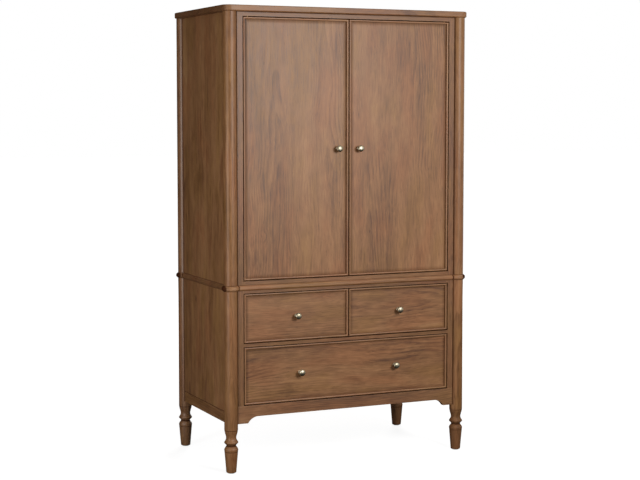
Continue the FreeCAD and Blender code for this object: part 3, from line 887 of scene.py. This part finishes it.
def make_case_screws(steel):
    """Screws in the two back panels and in the shelf battens."""
    sites = panel_sites("upper_back", (mid_height("upper_floor"), mid_height("hat_shelf")))
    make_screws("upper_back_screws", sites, BACK_SCREW_RADIUS, steel)

    sites = panel_sites("lower_back", (mid_height("case_bottom"), mid_height("drawer_deck")))
    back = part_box("lower_back")[1].y
    partition_low, partition_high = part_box("drawer_deck")[1].z + 0.01, band_bottom
    column = spread(partition_low, partition_high, inset=0.03, pitch=0.07)
    sites += [((0, back, z), BACKWARD) for z in column]
    make_screws("lower_back_screws", sites, BACK_SCREW_RADIUS, steel)

    low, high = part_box("shelf_battens")
    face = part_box("upper_side_right")[0].x - BATTEN_THICKNESS
    z = mid_height("shelf_battens")
    row = spread(low.y, high.y, inset=0.04, pitch=0.2)
    sites = []
    for sx, _ in SIDES:
        sites += [((sx * face, y, z), Vector((-sx, 0, 0))) for y in row]
    make_screws("batten_screws", sites, BATTEN_SCREW_RADIUS, steel)


def make_bolts(steel):
    """A washer and the head of a bolt behind each knob, inside its door or drawer."""
    for node, body in KNOBS:
        if "door" in body:
            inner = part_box(body + "_panel")[1].y
        else:
            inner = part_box(body + "_box")[0].y + BOX_WALL
        mesh = bmesh.new()
        for foot in knob_places(node):
            base = Vector((foot.x, inner, foot.z))
            add_lathed(mesh, WASHER, base, BACKWARD, WASHER_SIDES)
            add_screw(mesh, base + BACKWARD * WASHER[-1][1], BACKWARD, BOLT_RADIUS)
        make_piece(body + "_bolts", mesh, steel, body)


# Looks of the carried-over pieces

def dress_shell():
    """The slab, the waist band and the side panels."""
    ends = end_glaze("top_slab", reach=0.02, most=0.45)
    slab = wood("slab_wood", "X", "Y", 1, roughness=0.5, lustre=0.47, shade_and_stain=ends)
    dress("top_slab", slab, edge=0.0012, steps=3)
    # Painted shade in the notches by the posts, on the sides of the band, and along its top and
    # bottom
    nose = strongest(
        line_shade("X", notch_x, reach=0.005, most=0.9),
        line_shade("Y", notch_y, reach=0.005, most=0.85), nose_shade(flank=0.3, most=0.9),
        line_shade("Z", band_top, reach=0.003, most=0.3),
        line_shade("Z", band_bottom, reach=0.003, most=0.14),
    )
    band = wood("band_wood", "X", "Z", 2, shade=0.08, roughness=0.46, shade_and_stain=nose)
    dress("waist_band", band, edge=0.0024, steps=4)

    # Painted shade on the side panels by the posts, under the slab, by the band and above the base
    # rails
    corner = line_shade("Y", quirk_y, reach=0.012, most=0.6)
    upper = strongest(
        corner, line_shade("Z", slab_bottom, reach=0.006, most=0.6),
        line_shade("Z", band_top, reach=0.005, most=0.6),
    )
    lower = strongest(
        corner, line_shade("Z", band_bottom, reach=0.005, most=0.7),
        line_shade("Z", base_rail_top, reach=0.003, most=0.9),
    )
    for i, (_, side) in enumerate(SIDES):
        for kind, seed, shade_and_stain in (("upper_side_", 3 + i, upper), ("lower_side_", 5 + i, lower)):
            name = kind + "wood_" + side
            panel = wood(name, "Z", "Y", seed, figure=1.5, shade=0.08, knots=0.3, shade_and_stain=shade_and_stain)
            dress(kind + side, panel, edge=0.0006)


def dress_frames():
    """The face frames, the apron and the base rails."""
    stiles = beyond("X", opening_x)
    # Painted shade in the quirks by the posts, in the gaps round the fronts, by the band and under
    # the slab
    quirk = line_shade("X", quirk_x, reach=0.0045, most=0.7)
    gap = gap_shade(most=0.9)
    frames = (("upper_face_frame", band_top), ("lower_face_frame", band_bottom))
    for i, (node, band_z) in enumerate(frames):
        shade_and_stain = strongest(
            quirk, gap, line_shade("Z", band_z, reach=0.003, most=0.5),
            line_shade("Z", slab_bottom, reach=0.005, most=0.7),
        )
        material = wood(
            node + "_wood", "X", "Z", 27 + i, figure=0.6, shade=-0.17, lustre=0.5, turn=stiles,
            shade_and_stain=shade_and_stain,
        )
        dress(node, material)
    material = wood("apron_wood", "X", "Z", 9, shade=-0.1, shade_and_stain=strongest(quirk, gap))
    dress("apron", material, edge=0.001)
    # Painted shade on the base rails by the posts and along their top
    corner = strongest(
        line_shade("Y", quirk_y, reach=0.01, most=0.7),
        line_shade("Z", base_rail_top, reach=0.003, most=0.8),
    )
    material = wood("base_rail_wood", "Y", "Z", 10, shade=0.02, shade_and_stain=corner)
    dress("base_rails", material, edge=0.001)


def dress_inside():
    """The back panels, the boards across the case and the sticks inside it."""
    for i, node in enumerate(("upper_back", "lower_back")):
        dress(node, wood(node + "_wood", "Z", "X", 11 + i, roughness=0.62), edge=0.0004)
    for i, node in enumerate(("upper_floor", "drawer_deck", "case_bottom", "hat_shelf")):
        dress(node, wood(node + "_wood", "X", "Y", 13 + i, roughness=0.52), edge=0.0008)
    dress("centre_partition", wood("partition_wood", "Y", "Z", 17), edge=0.0008)
    dress("shelf_battens", wood("batten_wood", "Y", "Z", 18), edge=0.0012)
    dress("runner_cleats", wood("cleat_wood", "Y", "Z", 19, DRAWER_TONES), edge=0.0012)


# Each front with the axes along and across its grain, and how lively the grain is
FRONTS = (
    ("left_door", "Z", "X", 1.1), ("right_door", "Z", "X", 1.1), ("left_drawer", "X", "Z", 0.9),
    ("right_drawer", "X", "Z", 1.5), ("long_drawer", "X", "Z", 1.4),
)


def dress_fronts():
    """Doors and drawer fronts with their beads."""
    for i, (body, along, across, figure) in enumerate(FRONTS):
        door = "door" in body
        node = body + ("_panel" if door else "_front")
        # Painted shade round the edges of each front where its bead shades it, deepest at the right
        # edge
        shade_and_stain = strongest(
            edge_shade(node, start=0.002, reach=0.017, most=0.3),
            right_shade(node, start=0.002, reach=0.005, most=0.6),
        )
        material = wood(
            node + "_wood", along, across, 20 + i, figure=figure, shade=-0.04 if door else -0.02,
            knots=0.3, lustre=0.5, shade_and_stain=shade_and_stain,
        )
        dress(node, material, edge=0.0006)
        # Painted shade on the bead's outer corner in the gap, and at its seam with the panel
        bead = body + "_bead"
        material = wood(
            bead + "_wood", "X", "Z", 40 + i, figure=0.6, shade=-0.02, turn=mitre_turn(bead),
            shade_and_stain=bead_shade(bead, corner=0.95, seam=0.7),
        )
        dress(bead, material)


def dress_drawers():
    """Drawer boxes of a pale wood."""
    for i, body in enumerate(("left_drawer", "right_drawer", "long_drawer")):
        node = body + "_box"
        turn = box_side_turn(node)
        dress(node, wood(node + "_wood", "X", "Y", 50 + i, DRAWER_TONES, figure=0.8, turn=turn))


def dress_fittings():
    """Runners, hinges, the rail, the catches and the glides."""
    zinc = metal(
        "zinc_steel", srgb(190, 192, 190), srgb(160, 163, 164), roughness=0.36,
        marks=(40.0, 900.0, 900.0),
    )
    bronze = metal(
        "dark_bronze", srgb(118, 94, 62), srgb(74, 56, 38), roughness=0.36,
        marks=(500.0, 500.0, 500.0),
    )
    chrome = metal(
        "satin_chrome", srgb(205, 205, 203), srgb(180, 181, 182), roughness=0.22,
        marks=(30.0, 700.0, 700.0),
    )
    dress("fixed_runners", zinc, edge=0.0003)
    for drawer in ("left_drawer", "right_drawer", "long_drawer"):
        dress(drawer + "_runners", zinc, edge=0.0003)
        dress(drawer + "_middle_runners", zinc, edge=0.0003)
    for node in ("frame_hinge_plates", "left_door_fittings", "right_door_fittings"):
        dress(node, bronze, edge=0.0003)
    dress("hanging_rail", chrome)
    dress("rail_sockets", chrome)
    dress("door_catches", plastic("catch_brown", srgb(74, 52, 36)), edge=0.001)
    dress("foot_glides", plastic("glide_nylon", srgb(196, 190, 176)), edge=0.0006)


pewter = metal(
    "pewter", srgb(176, 168, 146), srgb(148, 139, 117), roughness=0.38, marks=(700.0, 700.0, 700.0)
)
screw_steel = metal(
    "screw_steel", srgb(176, 172, 160), srgb(140, 136, 126), roughness=0.35,
    marks=(600.0, 600.0, 600.0),
)
make_posts()
make_knobs(pewter)
dress_shell()
dress_frames()
dress_inside()
dress_fronts()
dress_drawers()
dress_fittings()
make_case_screws(screw_steel)
make_bolts(screw_steel)


# Stage, lights and camera

AMBIENT = 0.16
FLOOR_REACH = 40.0
FLOOR_GREY = 0.3
CARD_GREY = 0.01

# How bright the floor shines by itself near the cabinet, and from where to where it turns white
NEAR_GLOW = 0.88
GLOW_START = 1.2
GLOW_END = 3.0

# Corners of the dark cards: behind, on the left, on the floor and far in front
CARDS = (
    ((-3.6, 1.6, 0.0), (3.6, 1.6, 0.0), (3.6, 1.6, 4.2), (-3.6, 1.6, 4.2)),
    ((-3.6, -0.9, 0.0), (-3.6, 1.6, 0.0), (-3.6, 1.6, 4.2), (-3.6, -0.9, 4.2)),
    ((-6.0, -9.0, 0.003), (6.0, -9.0, 0.003), (6.0, 1.6, 0.003), (-6.0, 1.6, 0.003)),
    ((-6.0, -9.0, 0.003), (-6.0, -9.0, 1.6), (6.0, -9.0, 1.6), (6.0, -9.0, 0.003)),
)

# Soft boxes: the azimuth from the front in degrees, height, distance, width and height, watts, and
# the height on the cabinet's middle that the lamp looks at
LAMPS = (
    ("key", 12, 1.9, 3.2, (1.0, 1.2), 73, 1.1),
    ("left", -61, 1.0, 3.2, (0.5, 2.0), 35, 0.9),
    ("rear", 152, 2.2, 6.0, (2.4, 2.4), 230, 1.0),
)

CAMERA_PLACE = Vector((-2.7065, -5.9178, 1.478))
CAMERA_YAW = radians(24.585)
CAMERA_PITCH = radians(4.325)
CAMERA_LENS = 84.26
CAMERA_SHIFT = -0.025
CAMERA_SENSOR = 36.0


def background_rays(g):
    """1 for rays that see the white surroundings: from the camera, off gloss, through glass."""
    rays = g.add("ShaderNodeLightPath", {}).outputs
    total = g.math("MAXIMUM", rays["Is Camera Ray"], rays["Is Glossy Ray"])
    return g.math("MAXIMUM", total, rays["Is Transmission Ray"])


def make_world():
    """White surroundings, and a weaker even light on the object."""
    world = bpy.data.worlds.new("studio")
    bpy.context.scene.world = world
    g = Graph(world)
    light = g.add("ShaderNodeBackground", {"Color": grey(AMBIENT)})
    seen = g.add("ShaderNodeBackground", {"Color": grey(1.0)})
    inputs = {0: background_rays(g), 1: light.outputs[0], 2: seen.outputs[0]}
    choice = g.add("ShaderNodeMixShader", inputs)
    g.add("ShaderNodeOutputWorld", {"Surface": choice.outputs[0]})


def make_floor():
    """A wide pale floor that keeps a faint shadow near the cabinet and ends in plain white."""
    g = Graph(bpy.data.materials.new("floor_white"))
    away = g.add("ShaderNodeVectorMath", {0: g.place()}, operation="LENGTH").outputs["Value"]
    glow = g.smooth_step(away, GLOW_START, GLOW_END, NEAR_GLOW, 1.0)
    strength = g.math("MULTIPLY", glow, background_rays(g))
    shine = g.add("ShaderNodeEmission", {"Color": grey(1.0), "Strength": strength})
    matt = g.add("ShaderNodeBsdfDiffuse", {"Color": grey(FLOOR_GREY)})
    both = g.add("ShaderNodeAddShader", {0: shine.outputs[0], 1: matt.outputs[0]})
    g.add("ShaderNodeOutputMaterial", {"Surface": both.outputs[0]})
    mesh = bmesh.new()
    bmesh.ops.create_grid(mesh, x_segments=1, y_segments=1, size=FLOOR_REACH)
    add_mesh("floor", mesh, g.owner)


def make_cards():
    """Dark cards round the cabinet, which only reflections see."""
    g = Graph(bpy.data.materials.new("card_black"))
    matt = g.add("ShaderNodeBsdfDiffuse", {"Color": grey(CARD_GREY)})
    g.add("ShaderNodeOutputMaterial", {"Surface": matt.outputs[0]})
    mesh = bmesh.new()
    for corners in CARDS:
        mesh.faces.new([mesh.verts.new(corner) for corner in corners])
    cards = add_mesh("dark_cards", mesh, g.owner)
    cards.visible_camera = False
    cards.visible_diffuse = False
    cards.visible_shadow = False
    cards.visible_transmission = False


def point(thing, direction):
    """Turns a lamp or a camera to look along a direction, with its top up."""
    thing.rotation_mode = "QUATERNION"
    thing.rotation_quaternion = direction.to_track_quat("-Z", "Y")


def make_lamp(name, azimuth, height, distance, size, watts, target):
    """A soft box at an azimuth from the front, which looks at the middle of the cabinet."""
    light = bpy.data.lights.new(name, "AREA")
    light.shape = "RECTANGLE"
    light.size, light.size_y = size
    light.energy = watts
    lamp = add_object(name, light)
    angle = radians(azimuth)
    lamp.location = (distance * sin(angle), -distance * cos(angle), height)
    point(lamp, Vector((0, 0, target)) - lamp.location)


def make_camera():
    """The camera of the photograph."""
    data = bpy.data.cameras.new("camera")
    data.sensor_width = CAMERA_SENSOR
    data.lens = CAMERA_LENS
    data.shift_y = CAMERA_SHIFT
    camera = add_object("camera", data)
    camera.location = CAMERA_PLACE
    level = cos(CAMERA_PITCH)
    look = Vector((sin(CAMERA_YAW) * level, cos(CAMERA_YAW) * level, -sin(CAMERA_PITCH)))
    point(camera, look)
    bpy.context.scene.camera = camera


make_world()
make_floor()
make_cards()
for lamp_settings in LAMPS:
    make_lamp(*lamp_settings)
make_camera()
bpy.context.scene.view_settings.view_transform = "Standard"
